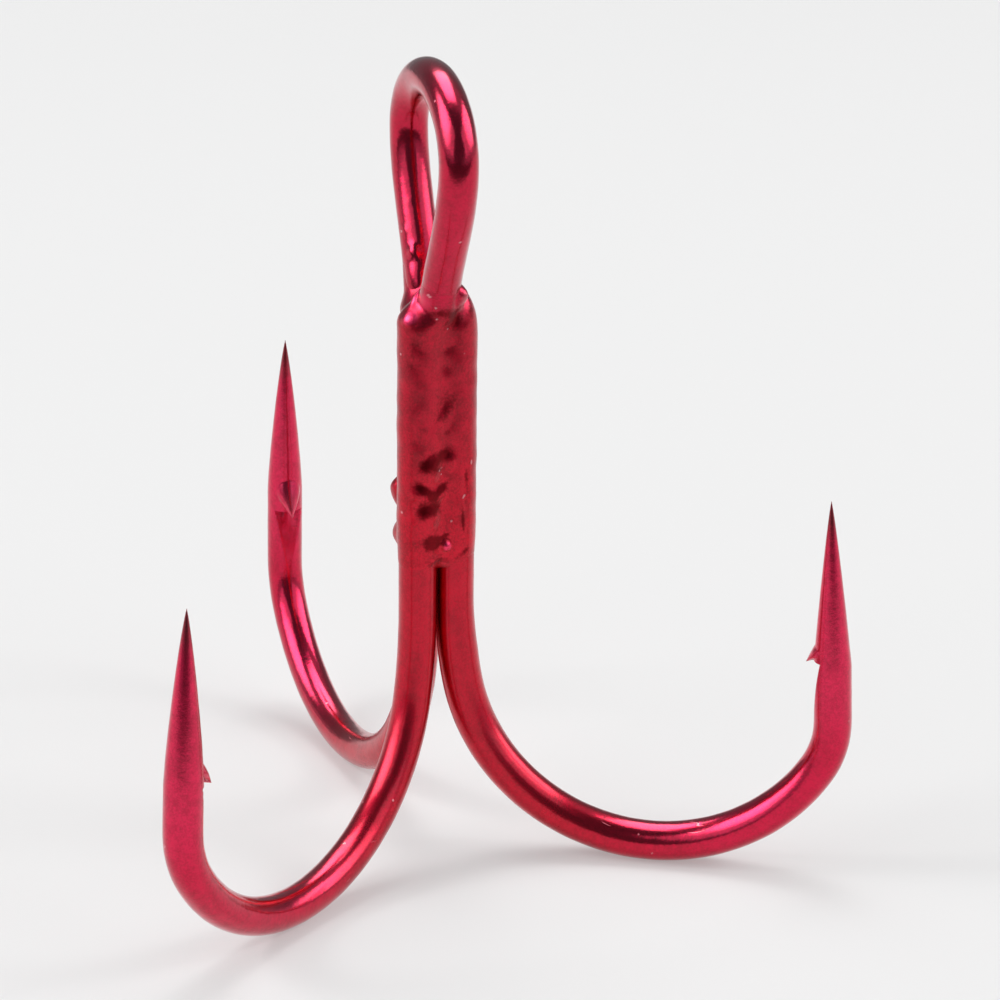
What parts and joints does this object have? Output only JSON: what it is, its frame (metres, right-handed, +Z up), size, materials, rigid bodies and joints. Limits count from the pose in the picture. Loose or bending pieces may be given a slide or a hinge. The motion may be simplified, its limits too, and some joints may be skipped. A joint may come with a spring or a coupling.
{
  "type": "treble hook",
  "caption": "Barbed fishing hook with a wire eye and round bends spread round one brazed shank, finished in red lacquer over bright wire.",
  "frame": {"origin": "middle of the eye, on the axis of the three shanks", "axes": "+Z up along the shanks from the bends to the eye; +Y along the hole of the eye, so the eye's wire lies in the XZ plane"},
  "size_m": [0.0235, 0.0244, 0.0279],
  "materials": {
    "wire_lacquer": "glossy translucent red lacquer over bright wire",
    "braze_lacquer": "satin red lacquer over rough braze"
  },
  "bodies": {
    "root": {"double_hook": "wire_lacquer", "single_hook": "wire_lacquer", "braze": "braze_lacquer"}
  },
  "joints": []
}
